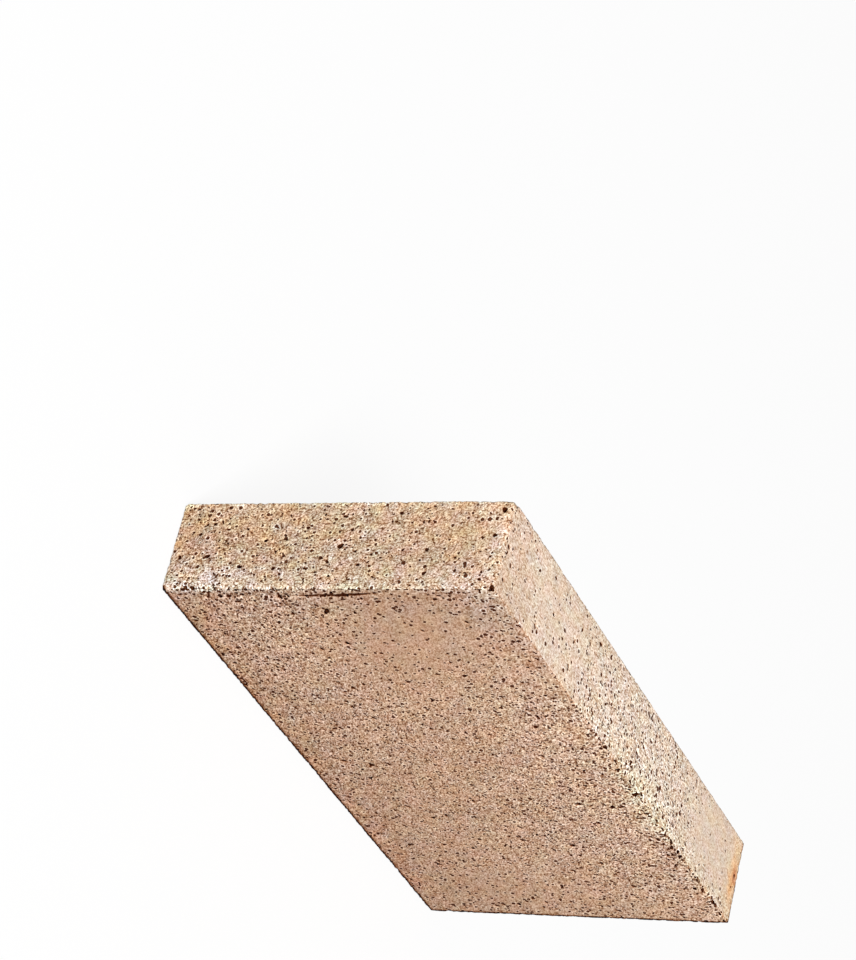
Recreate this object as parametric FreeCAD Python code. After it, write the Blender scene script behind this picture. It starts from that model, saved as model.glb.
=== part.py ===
import FreeCAD, Part
import math
import os
from collections import namedtuple

# A straight firebrick split, dry pressed and fired in one piece.
# Millimetres. X runs along the length, Y through the thickness and Z up the width:
# the brick stands on one long narrow face, and the origin is the middle of that face.
# The near header faces -X, the near bed face -Y and the top narrow face +Z.

INCH = 25.4

# Standard split, 9 x 4 1/2 x 1 1/4 inches
LENGTH = 9.0 * INCH
WIDTH = 4.5 * INCH
THICKNESS = 1.25 * INCH

# Corners that run through the thickness, left by the mould box, seen on a bed face
MOULD_CORNER_RADIUS = 0.9
# The same corner between the near header and the top face, rubbed rounder
WORN_CORNER_RADIUS = 2.0
# Rim round each bed face, left by the press plates
BED_ARRIS_RADIUS = 0.6
# A rim is never rounder than this share of the corner that it runs round
RIM_SHARE = 0.8

# Tapering bevel on the arris of the near header and the near bed face: its width on
# each face at the foot of the brick, and how far short of the top it dies out
BEVEL_ON_HEADER = 1.5
BEVEL_ON_BED = 1.6
BEVEL_STOP = 8.0

# Knocked corner of the near header, the top face and the far bed face
TOP_KNOCK_ALONG = 6.5
TOP_KNOCK_IN = 1.9
TOP_KNOCK_DOWN = 1.7

# Blunted foot corner of the near header and the near bed face
FOOT_KNOCK_ALONG = 2.6
FOOT_KNOCK_IN = 2.2
FOOT_KNOCK_UP = 2.4

# Rubbed foot corner of the near header and the far bed face
REAR_KNOCK_ALONG = 1.8
REAR_KNOCK_IN = 1.6
REAR_KNOCK_UP = 1.6

# Scoops broken out of the arris between the near bed face and the top face: distance
# from the far end, length along the arris and depth below the sharp edge
Spall = namedtuple("Spall", "from_far_end length bite")
SPALLS = (
    Spall(from_far_end=8.0, length=5.0, bite=1.0),
    Spall(from_far_end=26.0, length=8.0, bite=1.2),
    Spall(from_far_end=56.0, length=9.0, bite=1.3),
    Spall(from_far_end=91.0, length=7.0, bite=1.1),
)

# A cutting wedge stands out this far beyond the faces that it cuts
OVERRUN = 1.0
# Two places this close are the same place
SAME_PLACE = 1e-4


def make_blank():
    """The pressed block with sharp edges, standing on its long narrow face."""
    foot = FreeCAD.Vector(-LENGTH / 2, -THICKNESS / 2, 0)
    return Part.makeBox(LENGTH, THICKNESS, WIDTH, foot)


def runs_through_thickness(edge):
    """Whether an edge is one of the four that join the two bed faces."""
    first, last = edge.Vertexes[0].Point, edge.Vertexes[-1].Point
    return abs(abs(first.y - last.y) - THICKNESS) < SAME_PLACE


def is_worn_corner(edge):
    """Whether an edge is the one between the near header and the top face."""
    point = edge.Vertexes[0].Point
    return point.x < 0 and point.z > WIDTH / 2


def round_mould_corners(brick):
    """Rounds the four corners that the mould box leaves, one of them worn."""
    corners = [edge for edge in brick.Edges if runs_through_thickness(edge)]
    worn = [edge for edge in corners if is_worn_corner(edge)]
    brick = brick.makeFillet(WORN_CORNER_RADIUS, worn)
    corners = [
        edge
        for edge in brick.Edges
        if runs_through_thickness(edge) and not is_worn_corner(edge)
    ]
    return brick.makeFillet(MOULD_CORNER_RADIUS, corners)


def lies_in_bed_face(edge):
    """Whether the whole of an edge lies in one of the two bed faces."""
    return all(
        abs(abs(point.y) - THICKNESS / 2) < SAME_PLACE for point in edge.discretize(3)
    )


def ease_bed_rims(brick):
    """Eases the arris all the way round both bed faces."""
    sharpest = min(MOULD_CORNER_RADIUS, WORN_CORNER_RADIUS)
    radius = min(BED_ARRIS_RADIUS, RIM_SHARE * sharpest)
    rims = [edge for edge in brick.Edges if lies_in_bed_face(edge)]
    return brick.makeFillet(radius, rims)


def corner_wedge(corner, inward, legs):
    """A wedge that takes off a corner.

    corner is the sharp corner, inward holds the signs that lead into the brick along
    X, Y and Z, and legs are the lengths that the cut leaves off the three arrises.
    """
    reach = 1 + sum(OVERRUN / leg for leg in legs)
    apex = FreeCAD.Vector(*(c - OVERRUN * s for c, s in zip(corner, inward)))
    tips = []
    for axis, leg in enumerate(legs):
        tip = FreeCAD.Vector(apex)
        tip[axis] = corner[axis] + inward[axis] * (leg * reach - OVERRUN)
        tips.append(tip)
    triangles = (
        (tips[0], tips[1], tips[2]),
        (apex, tips[0], tips[1]),
        (apex, tips[1], tips[2]),
        (apex, tips[2], tips[0]),
    )
    faces = [Part.Face(Part.makePolygon([a, b, c, a])) for a, b, c in triangles]
    wedge = Part.Solid(Part.makeShell(faces))
    if wedge.Volume < 0:
        wedge.reverse()
    return wedge


def header_bevel():
    """The long tapering bevel on the arris of the near header and near bed face."""
    return corner_wedge(
        corner=(-LENGTH / 2, -THICKNESS / 2, 0),
        inward=(1, 1, 1),
        legs=(BEVEL_ON_BED, BEVEL_ON_HEADER, WIDTH - BEVEL_STOP),
    )


def top_knock():
    """The knocked corner at the top of the near header, on the far bed face."""
    return corner_wedge(
        corner=(-LENGTH / 2, THICKNESS / 2, WIDTH),
        inward=(1, -1, -1),
        legs=(TOP_KNOCK_ALONG, TOP_KNOCK_IN, TOP_KNOCK_DOWN),
    )


def foot_knock():
    """The blunted corner at the foot of the near header, on the near bed face."""
    return corner_wedge(
        corner=(-LENGTH / 2, -THICKNESS / 2, 0),
        inward=(1, 1, 1),
        legs=(FOOT_KNOCK_ALONG, FOOT_KNOCK_IN, FOOT_KNOCK_UP),
    )


def rear_knock():
    """The rubbed corner at the foot of the near header, on the far bed face."""
    return corner_wedge(
        corner=(-LENGTH / 2, THICKNESS / 2, 0),
        inward=(1, -1, 1),
        legs=(REAR_KNOCK_ALONG, REAR_KNOCK_IN, REAR_KNOCK_UP),
    )


def spall_scoop(spall):
    """A ball that breaks a shell-shaped scoop out of the near bed and top arris."""
    radius = (spall.length**2 / 4 + spall.bite**2) / (2 * spall.bite)
    outward = FreeCAD.Vector(0, -1, 1) / math.sqrt(2)
    on_arris = FreeCAD.Vector(LENGTH / 2 - spall.from_far_end, -THICKNESS / 2, WIDTH)
    return Part.makeSphere(radius, on_arris + outward * (radius - spall.bite))


def make_firebrick():
    """The brick with its eased arrises, its bevel, knocked corners and spalls."""
    brick = ease_bed_rims(round_mould_corners(make_blank()))
    for wedge in (header_bevel(), top_knock(), foot_knock(), rear_knock()):
        brick = brick.cut(wedge)
    for spall in SPALLS:
        brick = brick.cut(spall_scoop(spall))
    return brick.Solids[0]


def main():
    """Builds the brick, prints its measures and writes its STEP file."""
    firebrick = make_firebrick()
    box = firebrick.optimalBoundingBox(False)
    print(f"firebrick {box.XLength:.2f} x {box.YLength:.2f} x {box.ZLength:.2f} mm")
    print(f"volume {firebrick.Volume / 1000:.1f} cm3, valid {firebrick.isValid()}")
    os.makedirs("parts", exist_ok=True)
    firebrick.exportStep("parts/firebrick.step")


main()
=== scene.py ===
"""Dresses the refractory firebrick, one pressed and fired fireclay split.

One dense mesh stands for the solid of the frame. It has the worn arrises, the chips and
the pits of the fired brick, and one procedural finish gives the clay its grain, its
specks, its stains and the shade that is painted into its colours. Lengths in the script
are millimetres along the frame's axes, and every mesh is written in metres.
"""

import logging
import math
from dataclasses import dataclass, field
from enum import Enum

import bpy
import numpy as np
from mathutils import Matrix, Vector, geometry, noise


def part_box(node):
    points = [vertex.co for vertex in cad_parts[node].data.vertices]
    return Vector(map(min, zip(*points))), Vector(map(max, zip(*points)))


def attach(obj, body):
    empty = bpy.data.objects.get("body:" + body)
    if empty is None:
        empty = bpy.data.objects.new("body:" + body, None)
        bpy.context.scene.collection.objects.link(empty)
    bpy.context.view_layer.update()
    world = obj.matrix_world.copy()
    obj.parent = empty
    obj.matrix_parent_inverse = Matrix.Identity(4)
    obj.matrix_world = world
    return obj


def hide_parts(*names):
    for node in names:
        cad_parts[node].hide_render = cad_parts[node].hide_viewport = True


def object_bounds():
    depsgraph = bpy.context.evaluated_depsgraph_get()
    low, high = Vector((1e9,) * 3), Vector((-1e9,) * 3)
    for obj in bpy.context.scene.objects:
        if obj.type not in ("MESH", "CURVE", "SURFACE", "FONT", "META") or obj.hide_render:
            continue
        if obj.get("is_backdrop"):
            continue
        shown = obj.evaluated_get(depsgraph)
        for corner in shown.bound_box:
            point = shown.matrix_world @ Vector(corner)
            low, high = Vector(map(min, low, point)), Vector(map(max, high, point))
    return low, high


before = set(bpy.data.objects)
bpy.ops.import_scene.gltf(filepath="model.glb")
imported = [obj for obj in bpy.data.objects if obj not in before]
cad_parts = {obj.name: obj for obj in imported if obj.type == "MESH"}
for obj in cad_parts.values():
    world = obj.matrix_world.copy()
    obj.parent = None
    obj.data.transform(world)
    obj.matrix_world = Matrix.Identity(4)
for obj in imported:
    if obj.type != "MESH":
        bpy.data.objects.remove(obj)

NODE = "firebrick"
BODY = "root"
MM = 0.001
MM_PER_CM = 10
SEED = 4127
# The sockets of a Mix node set to colours: the first colour, the second and the result
MIX_FIRST = 6
MIX_SECOND = 7
MIX_RESULT = 2
# The clay was struck off slantwise across the beds, so its grains and pores lie that way
LIE = (-0.87, 0.0, 0.49)

Colour = tuple[float, float, float]
Place = tuple[float, float, float]
Span = tuple[float, float]

log = logging.getLogger("firebrick")


class Side(Enum):
    """The six faces, each as the axis that it closes and the low or high end of it."""

    NEAR_HEADER = (0, 0)
    FAR_HEADER = (0, 1)
    NEAR_BED = (1, 0)
    FAR_BED = (1, 1)
    FOOT = (2, 0)
    TOP = (2, 1)

    @property
    def axis(self) -> int:
        """The axis that the face stands across."""
        return self.value[0]

    @property
    def end(self) -> int:
        """0 at the low end of that axis and 1 at the high end."""
        return self.value[1]

    @property
    def plane(self) -> tuple[int, int]:
        """The two axes that lie in the face, in X, Y, Z order."""
        first, second = (axis for axis in range(3) if axis != self.axis)
        return first, second


@dataclass(frozen=True)
class Pit:
    """An open pore in a face, placed from the face's low corner."""

    first: float
    second: float
    width: float


def pits_at(*rows: Place) -> tuple[Pit, ...]:
    """Pits given one by one, each as its two places in the face and its width."""
    return tuple(Pit(*row) for row in rows)


@dataclass(frozen=True)
class Patch:
    """A round zone of a face where the grain is coarser, or finer if the change is negative."""

    first: float
    second: float
    reach: float
    change: float


@dataclass(frozen=True)
class Skin:
    """How one face came out of the mould: its coarseness, its pores and its crown."""

    coarseness: float
    pits_per_cm2: float
    crown: float
    pit_scale: float = 1.0
    rim_step: float = 0.8
    field_step: float = 2.2
    patches: tuple[Patch, ...] = ()
    pits: tuple[Pit, ...] = ()


@dataclass(frozen=True)
class Arris:
    """One arris between two faces: how round it is, how much has crumbled off and how much painted
    shade darkens it.
    """

    first: Side
    second: Side
    radius: float
    crumbs_per_cm: float
    far_crumbs_per_cm: float = -1.0
    ragged: float = 0.16
    pale: float = 0.35
    pale_reach: float = 0.8
    painted_edge_shade: float = 0.0
    strokes_per_cm: float = 0.0

    @property
    def axis(self) -> int:
        """The axis that the arris runs along."""
        return 3 - self.first.axis - self.second.axis


@dataclass(frozen=True)
class Spall:
    """A shell-shaped chip out of the near and top arris, placed from the far end."""

    from_far_end: float
    length: float
    bite: float


@dataclass(frozen=True)
class Crumb:
    """A grain torn out of an arris.

    It is placed along the arris from its low end. Its drop is the distance from the
    arris on the first of the two faces, or below zero on the second.
    """

    along: float
    drop: float
    size: float


def crumbs_at(*rows: Place) -> tuple[Crumb, ...]:
    """Crumbs given one by one, each as its place along the arris, its drop and its size."""
    return tuple(Crumb(*row) for row in rows)


@dataclass(frozen=True)
class Wander:
    """Smooth random values that change over one grain, in millimetres."""

    grain: float
    offset: float
    level: float = 0.0
    swing: float = 1.0

    def at(self, points: np.ndarray) -> np.ndarray:
        """The values at places, one row each: the level, give or take about the swing."""
        moved = points / self.grain + self.offset
        return self.level + self.swing * np.array([noise.noise(Vector(row)) for row in moved])


@dataclass(frozen=True)
class Ledge:
    """A shallow step that the press plate's rim left in a face, along a bent line."""

    side: Side
    line: tuple[tuple[float, float], ...]
    drop: float
    groove: float
    half_width: float
    # The dark values lay painted shade along the groove.
    dark_middle: float
    dark_reach: float
    lead_in: float = 4.0
    lead_in_fade: float = 10.0
    end_fade: float = 24.0
    rim_fade: float = 1.2
    row_lead: float = 3.0
    row_step: float = 0.42
    pit_share: float = 0.75
    pit_clear: float = 0.45
    groove_share: float = 0.7
    dark_share: float = 1.7
    dark_rest: float = 0.48
    patches: Wander = Wander(3.5, 21.0, 0.9, 0.8)


@dataclass(frozen=True)
class Knock:
    """A corner knocked off flat, with what it leaves off the three arrises."""

    corner: tuple[Side, Side, Side]
    legs: Place


SKINS = {
    Side.NEAR_BED: Skin(
        coarseness=0.62,
        pits_per_cm2=2.9,
        crown=0.25,
        pit_scale=1.0,
        rim_step=0.55,
        field_step=2.0,
        patches=(
            Patch(22.0, 82.0, 17.0, -0.5),
            Patch(42.0, 60.0, 14.0, -0.4),
            Patch(212.0, 36.0, 12.0, -0.35),
            Patch(205.0, 66.0, 14.0, -0.2),
            Patch(205.0, 22.0, 12.0, -0.2),
            Patch(85.0, 100.0, 18.0, 0.35),
            Patch(120.0, 96.0, 16.0, 0.3),
            Patch(152.0, 90.0, 22.0, 0.4),
            Patch(188.0, 88.0, 14.0, 0.25),
            Patch(35.0, 24.0, 20.0, 0.3),
            Patch(92.0, 18.0, 25.0, 0.25),
            Patch(8.0, 30.0, 12.0, 0.4),
        ),
        pits=pits_at(
            (140.3, 89.8, 2.2), (141.8, 101.5, 1.9), (146.0, 104.3, 1.5), (171.2, 76.3, 2.2),
            (201.5, 88.0, 1.8), (153.7, 92.1, 1.7), (130.8, 90.5, 1.6), (79.8, 97.6, 1.5),
            (87.0, 94.6, 2.0), (68.2, 107.6, 1.6), (20.3, 96.8, 1.4), (53.0, 73.8, 1.5),
            (70.0, 65.3, 1.5), (58.3, 61.6, 1.7), (40.0, 59.8, 1.3), (15.0, 61.3, 1.3),
            (14.2, 51.8, 2.4), (33.8, 50.6, 1.8), (62.7, 40.1, 1.8), (82.5, 39.0, 1.5),
            (137.5, 73.5, 1.6), (190.8, 69.3, 1.6), (168.3, 58.8, 1.5), (151.3, 37.3, 1.6),
            (176.0, 37.5, 1.5), (115.0, 31.0, 1.6), (115.8, 24.1, 2.3), (125.3, 19.8, 1.7),
            (113.3, 15.0, 1.8), (189.5, 19.1, 1.8), (175.0, 13.6, 1.6), (130.8, 3.8, 1.4),
            (221.7, 28.8, 1.7), (214.5, 45.5, 1.3), (217.0, 42.0, 1.4), (219.6, 38.0, 1.7),
            (5.8, 41.0, 1.6), (8.3, 23.8, 1.8), (47.5, 4.3, 1.5), (2.9, 2.5, 1.0),
            (4.1, 5.0, 1.1), (4.0, 6.9, 1.2), (4.2, 12.5, 1.2), (5.7, 14.2, 1.3),
            (5.4, 19.0, 1.1), (5.3, 21.7, 1.8), (5.2, 24.8, 1.0), (4.5, 26.6, 1.5),
            (8.0, 29.6, 1.2), (8.3, 23.6, 1.7), (5.3, 39.4, 1.8), (6.7, 41.0, 1.5),
            (5.2, 42.4, 1.0), (4.6, 58.3, 1.0), (3.9, 64.6, 1.2), (3.3, 72.7, 1.3),
            (3.9, 78.2, 1.1), (6.4, 67.0, 1.3), (6.8, 91.6, 1.6), (4.6, 93.6, 1.2),
            (2.9, 102.8, 1.2), (3.1, 96.9, 1.0), (101.0, 112.1, 1.1), (115.4, 112.3, 1.5),
            (129.2, 111.7, 1.4), (130.9, 110.2, 1.4), (132.8, 112.3, 2.2), (139.5, 111.3, 1.1),
            (144.0, 111.0, 1.3), (149.5, 107.7, 1.4), (137.3, 106.0, 1.2), (139.6, 106.2, 1.3),
            (111.0, 105.8, 1.4), (118.6, 106.1, 1.2), (171.1, 112.4, 1.4), (168.6, 110.1, 1.4),
            (164.3, 109.5, 1.2), (163.1, 107.6, 1.3), (175.4, 110.8, 1.2), (176.5, 109.2, 1.5),
            (169.1, 106.5, 1.5), (183.9, 109.2, 1.2), (188.0, 107.3, 1.3), (188.6, 111.8, 1.3),
            (201.4, 110.3, 1.6), (202.0, 106.5, 1.3), (205.6, 109.8, 1.2), (211.8, 112.3, 1.5),
            (218.1, 107.6, 1.3),
        ),
    ),
    Side.FAR_BED: Skin(coarseness=0.5, pits_per_cm2=1.5, crown=0.2),
    Side.TOP: Skin(
        coarseness=0.3,
        pits_per_cm2=1.15,
        crown=0.45,
        rim_step=0.55,
        field_step=2.0,
        patches=(
            Patch(128.0, 16.0, 22.0, 0.3),
            Patch(160.0, 16.0, 12.0, 0.2),
            Patch(86.0, 8.0, 10.0, 0.2),
            Patch(195.0, 15.0, 18.0, -0.3),
            Patch(216.0, 18.0, 12.0, -0.25),
            Patch(45.0, 16.0, 20.0, -0.2),
        ),
        pits=pits_at(
            (80.2, 26.9, 1.9), (38.7, 26.8, 1.4), (64.5, 23.1, 1.3), (85.0, 18.6, 1.5),
            (3.4, 16.8, 1.6), (7.2, 12.6, 1.3), (32.0, 5.8, 1.5), (60.3, 7.9, 1.3),
            (76.8, 6.4, 1.2), (85.0, 4.6, 1.3), (92.7, 12.1, 1.3), (123.8, 11.3, 1.5),
            (128.3, 15.6, 1.4), (121.2, 6.3, 1.7), (147.8, 10.9, 1.8), (142.8, 13.4, 1.3),
            (135.3, 4.1, 1.4), (165.5, 10.4, 1.5), (168.0, 14.9, 1.4), (177.0, 28.6, 1.6),
            (155.3, 4.3, 1.5), (136.7, 24.3, 1.3), (225.4, 17.2, 1.5), (102.8, 2.8, 1.4),
            (118.2, 4.2, 1.4), (127.0, 3.1, 1.2), (135.2, 4.4, 1.5), (134.9, 1.9, 1.6),
            (131.9, 5.1, 1.0), (155.1, 4.0, 1.4), (160.9, 2.1, 1.3), (190.5, 2.6, 1.3),
        ),
    ),
    Side.FOOT: Skin(coarseness=0.35, pits_per_cm2=0.9, crown=0.0),
    Side.NEAR_HEADER: Skin(
        coarseness=0.84,
        pits_per_cm2=2.6,
        crown=0.1,
        pit_scale=0.86,
        rim_step=0.55,
        field_step=1.8,
        patches=(
            Patch(16.0, 100.0, 18.0, -0.15),
            Patch(6.0, 12.0, 12.0, 0.2),
        ),
        pits=pits_at(
            (15.6, 58.7, 2.3), (28.2, 110.9, 2.2), (19.2, 109.6, 1.6), (18.4, 105.8, 1.2),
            (26.2, 57.8, 1.5), (21.4, 61.3, 1.4), (22.1, 46.0, 1.5), (27.2, 76.7, 1.5),
            (12.1, 13.3, 1.8), (11.7, 3.6, 1.6), (20.0, 8.7, 1.5), (17.6, 32.5, 1.4),
            (7.6, 37.5, 1.5), (5.6, 40.2, 1.2), (11.4, 53.0, 1.5), (10.1, 55.4, 1.4),
            (8.9, 66.3, 1.4), (14.2, 88.3, 1.5), (5.9, 89.2, 1.6), (6.8, 99.2, 1.3),
            (3.8, 108.0, 1.4), (21.7, 18.3, 1.3),
        ),
    ),
    Side.FAR_HEADER: Skin(coarseness=0.85, pits_per_cm2=1.8, crown=0.1),
}

# Three arrises below carry painted shade, a dark line along the brick's outline.
ARRISES = (
    Arris(Side.NEAR_HEADER, Side.TOP, 2.0, 1.5, pale=0.1),
    Arris(Side.NEAR_BED, Side.NEAR_HEADER, 0.6, 2.0, ragged=0.25, pale=0.6, pale_reach=0.6),
    Arris(Side.NEAR_HEADER, Side.FAR_BED, 0.7, 4.0, pale=0.8, pale_reach=1.5),
    Arris(Side.NEAR_HEADER, Side.FOOT, 0.8, 3.0),
    Arris(Side.FAR_HEADER, Side.TOP, 0.9, 2.5, pale=0.1, painted_edge_shade=0.8),
    Arris(Side.FAR_HEADER, Side.NEAR_BED, 0.6, 1.5, pale=0.1, painted_edge_shade=5.0),
    Arris(Side.FAR_HEADER, Side.FAR_BED, 0.6, 3.0),
    Arris(Side.FAR_HEADER, Side.FOOT, 0.9, 2.0),
    Arris(
        Side.NEAR_BED, Side.TOP, 1.0, 0.5, 4.0,
        ragged=0.3, pale=0.08, pale_reach=2.4, strokes_per_cm=2.4,
    ),
    Arris(Side.FAR_BED, Side.TOP, 0.8, 2.0),
    Arris(Side.NEAR_BED, Side.FOOT, 0.6, 3.0, ragged=0.16, pale=0.1, painted_edge_shade=2.2),
    Arris(Side.FAR_BED, Side.FOOT, 0.6, 2.0),
)

CRUMBS = {
    (Side.NEAR_BED, Side.TOP): crumbs_at(
        (78.0, 0.4, 1.2), (84.5, -0.5, 1.0), (90.6, 0.5, 1.2), (95.2, 0.1, 1.3),
        (98.5, -0.8, 1.7), (99.6, 0.4, 1.2), (100.6, -0.3, 1.0), (104.5, 0.5, 1.1),
        (109.0, 0.5, 1.2), (111.2, 0.6, 1.1), (114.4, 0.9, 1.3), (118.9, 0.4, 1.1),
        (124.3, -0.6, 1.9), (125.1, -0.2, 1.6), (128.3, 0.5, 1.2), (131.8, 0.7, 1.5),
        (137.0, 0.5, 1.3), (141.6, 0.4, 1.3), (143.5, -0.5, 1.2), (149.4, -0.9, 1.1),
        (151.2, 0.2, 1.4), (152.7, 0.4, 1.2), (157.0, 0.2, 1.7), (158.5, -0.1, 1.8),
        (160.2, -0.5, 1.5), (161.3, 0.9, 1.5), (161.9, 1.6, 1.2), (165.6, -0.6, 1.9),
        (166.8, 0.3, 2.1), (168.2, -0.6, 1.2), (169.6, 1.6, 1.3), (174.3, 0.6, 1.7),
        (177.1, 1.0, 2.0), (177.7, 0.0, 1.3), (179.3, 0.7, 1.3), (180.0, 1.4, 1.1),
        (184.5, 0.5, 1.1), (187.3, 0.7, 1.4), (190.1, 1.0, 1.2), (192.7, 0.9, 1.4),
        (194.5, -0.3, 1.5), (195.6, -1.0, 1.2), (195.2, 1.0, 1.8), (201.4, 0.1, 1.5),
        (202.5, 0.9, 1.5), (203.6, 1.8, 1.4), (206.1, 0.5, 1.3), (212.5, 0.0, 1.3),
        (214.6, -0.3, 1.1), (219.6, 0.1, 1.4), (220.8, 0.9, 1.5), (222.0, 1.7, 1.3),
        (226.4, 1.2, 1.6),
    ),
    (Side.NEAR_BED, Side.NEAR_HEADER): crumbs_at(
        (3.2, 0.6, 1.0), (5.3, 0.8, 1.1), (7.1, 0.7, 1.5), (9.2, 0.7, 1.3),
        (10.8, 0.1, 1.6), (10.8, 1.2, 1.2), (13.2, 0.7, 1.0), (15.4, 0.9, 1.0),
        (16.4, 0.8, 1.0), (18.6, 0.2, 1.4), (18.5, 1.3, 1.6), (20.4, 1.0, 1.0),
        (23.3, 0.9, 1.1), (26.2, 1.0, 1.5), (28.2, 0.8, 1.2), (29.6, 0.9, 1.3),
        (30.8, 1.2, 1.6), (33.0, 1.1, 1.7), (34.2, 2.4, 1.2), (36.8, 1.1, 1.1),
        (38.8, 0.6, 1.3), (40.5, 1.1, 1.9), (45.4, 1.0, 1.2), (47.7, 1.6, 1.1),
        (49.6, 1.1, 1.2), (52.4, 0.9, 1.1), (55.0, 0.8, 1.6), (57.9, 2.8, 1.2),
        (61.9, 1.2, 1.5), (66.3, 1.4, 1.4), (65.9, 2.3, 1.1), (71.4, 0.9, 1.5),
        (74.9, 0.5, 1.8), (78.0, 0.9, 1.3), (81.4, 0.9, 1.6), (84.4, 1.1, 1.6),
        (89.6, 1.0, 1.3), (93.4, 0.7, 1.6), (94.3, 1.8, 1.2), (97.6, 0.8, 1.1),
        (99.3, 0.8, 1.2), (100.8, 0.7, 1.5), (104.2, 0.7, 1.1), (107.7, 0.6, 1.4),
        (108.9, 0.7, 1.3), (112.2, 1.4, 1.2), (112.9, -0.7, 1.9), (113.5, 0.9, 1.9),
    ),
}

LEDGE = Ledge(
    side=Side.NEAR_BED,
    line=(
        (6.0, 9.0),
        (5.8, 15.0),
        (5.4, 22.0),
        (5.2, 32.0),
        (5.0, 42.0),
        (4.6, 52.0),
        (4.5, 60.0),
        (3.9, 67.0),
        (3.5, 73.0),
        (2.8, 80.0),
        (1.9, 90.0),
    ),
    drop=0.22,
    groove=0.34,
    half_width=0.34,
    dark_middle=60.0,
    dark_reach=20.0,
)

SPALLS = (
    Spall(8.0, 5.0, 1.0),
    Spall(26.0, 8.0, 1.2),
    Spall(56.0, 9.0, 1.3),
    Spall(91.0, 7.0, 1.1),
)

KNOCKS = (
    Knock((Side.NEAR_HEADER, Side.NEAR_BED, Side.FOOT), (1.6, 1.5, 106.3)),
    Knock((Side.NEAR_HEADER, Side.FAR_BED, Side.TOP), (6.5, 1.9, 1.7)),
    Knock((Side.NEAR_HEADER, Side.NEAR_BED, Side.FOOT), (1.7, 1.5, 1.6)),
    Knock((Side.NEAR_HEADER, Side.FAR_BED, Side.FOOT), (1.8, 1.6, 1.6)),
)


def soft_step(values: np.ndarray) -> np.ndarray:
    """Values from 0 to 1 with a smooth start and end, and held outside that range."""
    held = np.clip(values, 0.0, 1.0)
    return held * held * (3.0 - 2.0 * held)


@dataclass(frozen=True)
class PitForm:
    """How the pits are made, with their rings as shares of a pit's radius and depth."""

    least: float = 0.75
    largest: float = 1.6
    size_odds: Span = (1.0, 2.6)
    apart: float = 0.7
    plain_chance: float = 0.15
    coarse_chance: float = 0.5
    depth_share: float = 0.62
    depth_spread: Span = (0.75, 1.15)
    long: Span = (1.0, 1.35)
    round: Span = (1.02, 1.2)
    tilt_spread: float = 0.7
    ring_step: float = 0.42
    least_points: int = 7
    two_lobes: float = 0.14
    three_lobes: float = 0.1
    margin: float = 0.26
    lip_sink: float = 0.16
    lip_hollow: float = 0.45
    floor_ring: float = 0.6
    floor_sink: float = 0.86


@dataclass(frozen=True)
class Breaks:
    """How small chips and single grains break out of the arrises.

    Odds shape a beta draw. Chip sizes and stroke drops are a least value and a span.
    """

    far_start: float = 0.3
    far_slope: float = 4.0
    chip_size: Span = (1.0, 2.4)
    chip_odds: Span = (1.0, 2.5)
    chip_bite: Span = (0.16, 0.3)
    chip_radius_share: float = 0.3
    chip_lean: float = 0.25
    chip_squeeze: float = 0.5
    grain_rise: float = 0.2
    grain_growth: float = 1.12
    grain_stretch: Span = (1.1, 1.9)
    grain_wall: float = 0.35
    stroke_drop: Span = (-1.0, 3.8)
    stroke_odds: Span = (1.6, 1.5)
    stroke_size: Span = (0.75, 1.35)
    stroke_end: float = 2.0
    knock_margin: float = 0.02
    full_depth: float = 0.35


@dataclass(frozen=True)
class Weather:
    """How the skin swells, frays and darkens, with each reach in millimetres."""

    skin_inset: float = 0.16
    swell: Wander = Wander(32.0, 1.9, 0.0, 0.06)
    ripple: Wander = Wander(4.5, 8.2, 0.0, 0.006)
    grit: Wander = Wander(1.7, 6.4)
    grit_least: float = 0.006
    grit_where_coarse: float = 0.01
    grit_at_rim: float = 0.05
    arris_radius: Wander = Wander(5.0, 3.7, 1.0, 0.25)
    coarse: Wander = Wander(14.0, 5.1, 0.0, 0.07)
    coarsest: float = 1.5
    # This makes the painted shade along the outline arrises patchy.
    painted_edge_shade: Wander = Wander(2.6, 41.0, 1.0, 0.7)
    painted_edge_shade_reach: float = 1.1
    crumbly: Wander = Wander(7.0, 33.0, 0.65, 0.9)
    crumbly_start: float = 0.22
    crumbly_slope: float = 5.0
    crumbly_reach: float = 7.5
    crumbly_rise: float = 0.41
    rag: Wander = Wander(0.95, 11.3, 0.15)
    rag_reach: float = 1.1
    rag_gain: float = 2.2
    rubbed: Wander = Wander(6.0, 14.0, 0.6, 0.7)
    groove_share: float = 0.85
    groove_most: float = 0.62


@dataclass(frozen=True)
class Facing:
    """Which way the surface has to face to count as a header, a bed or a turned arris, where the
    turned arris gets painted shade.
    """

    band: float = 0.3
    header_start: float = 0.55
    bed_start: float = 0.45
    turn_lean: float = 0.7
    turn_start: float = 0.15
    turn_most: float = 0.8
    turn_gain: float = 3.0


@dataclass
class Cloud:
    """Points of one face, flat in its plane, with how deep each one sinks."""

    places: list[np.ndarray] = field(default_factory=list)
    sinks: list[np.ndarray] = field(default_factory=list)
    hollows: list[np.ndarray] = field(default_factory=list)

    def add(self, places: np.ndarray, sink: float = 0.0, hollow: float = 0.0) -> None:
        """Adds points that all sink alike, where hollow is 1 deep in a pit.

        Args:
            places: The points, flat in the face.
            sink: How deep they lie, in millimetres.
            hollow: How far they are inside a pit, from 0 to 1.
        """
        self.places.append(places)
        self.sinks.append(np.full(len(places), sink))
        self.hollows.append(np.full(len(places), hollow))


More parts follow.
